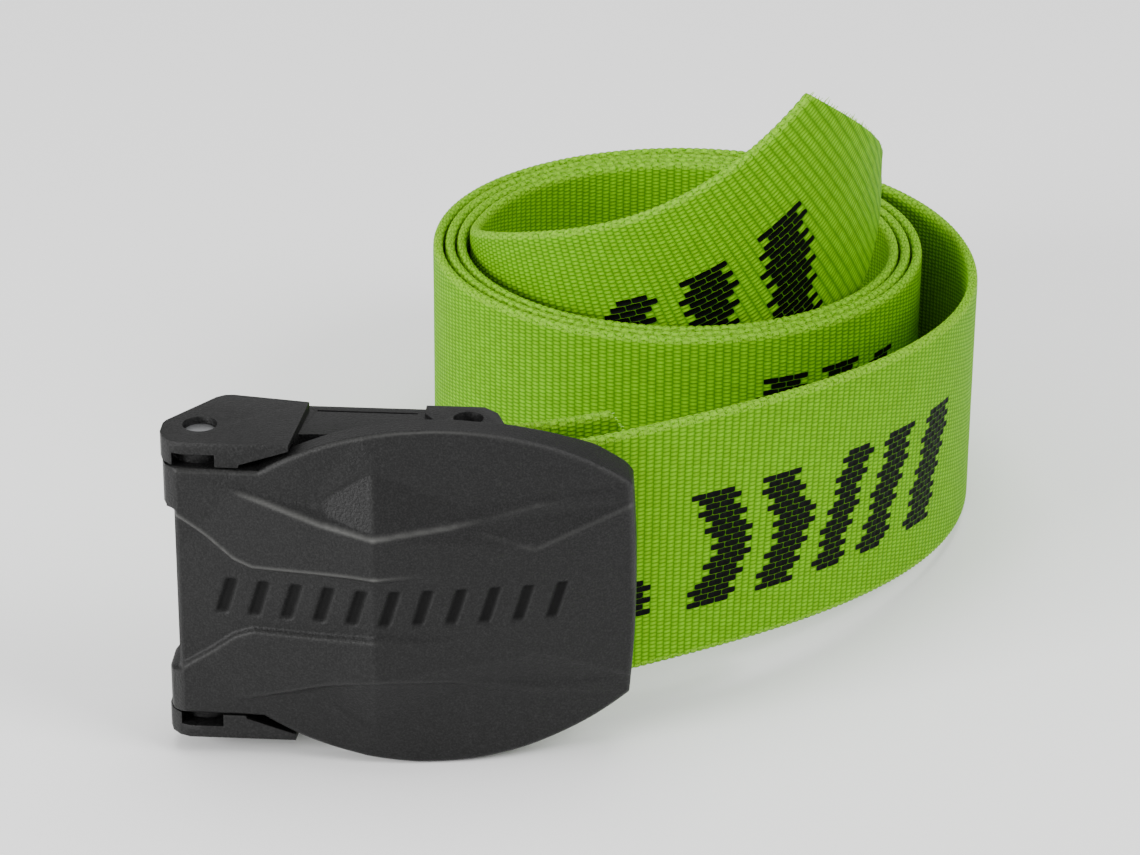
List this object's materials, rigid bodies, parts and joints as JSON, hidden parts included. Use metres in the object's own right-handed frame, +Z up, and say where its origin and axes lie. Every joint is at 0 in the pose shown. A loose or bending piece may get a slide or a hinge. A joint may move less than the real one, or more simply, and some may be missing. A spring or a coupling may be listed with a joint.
{
  "type": "dive weight belt",
  "caption": "Woven webbing weight belt wound in a coil, standing on its edge, with a moulded cam-lever quick-release buckle at its fixed end.",
  "frame": {"origin": "centre of the footprint, at the floor the belt stands on", "axes": "+X along the buckle from its hinge pin to the lever's tip, +Y away from the buckle's face towards the coil, +Z up across the webbing's width"},
  "size_m": [0.151, 0.1946, 0.0953],
  "materials": {
    "buckle_frame": "black glass-filled nylon, lightly grained from the mould",
    "cam_lever": "black glass-filled nylon, lightly grained from the mould",
    "hinge_pin": "turned stainless steel",
    "webbing_bar": "turned stainless steel",
    "belt_webbing": "lime green woven nylon with black woven marks"
  },
  "bodies": {
    "belt_and_frame": {"buckle_frame": "buckle_frame", "hinge_pin": "hinge_pin", "webbing_bar": "webbing_bar", "belt_webbing": "belt_webbing"},
    "lever": {"cam_lever": "cam_lever"}
  },
  "joints": [
    {"name": "lever_hinge", "type": "hinge", "parent": "belt_and_frame", "child": "lever", "pos_m": [-0.06871, -0.08349, 0.034], "axis": [0, 0, -1], "range_deg": [0, 100]}
  ]
}
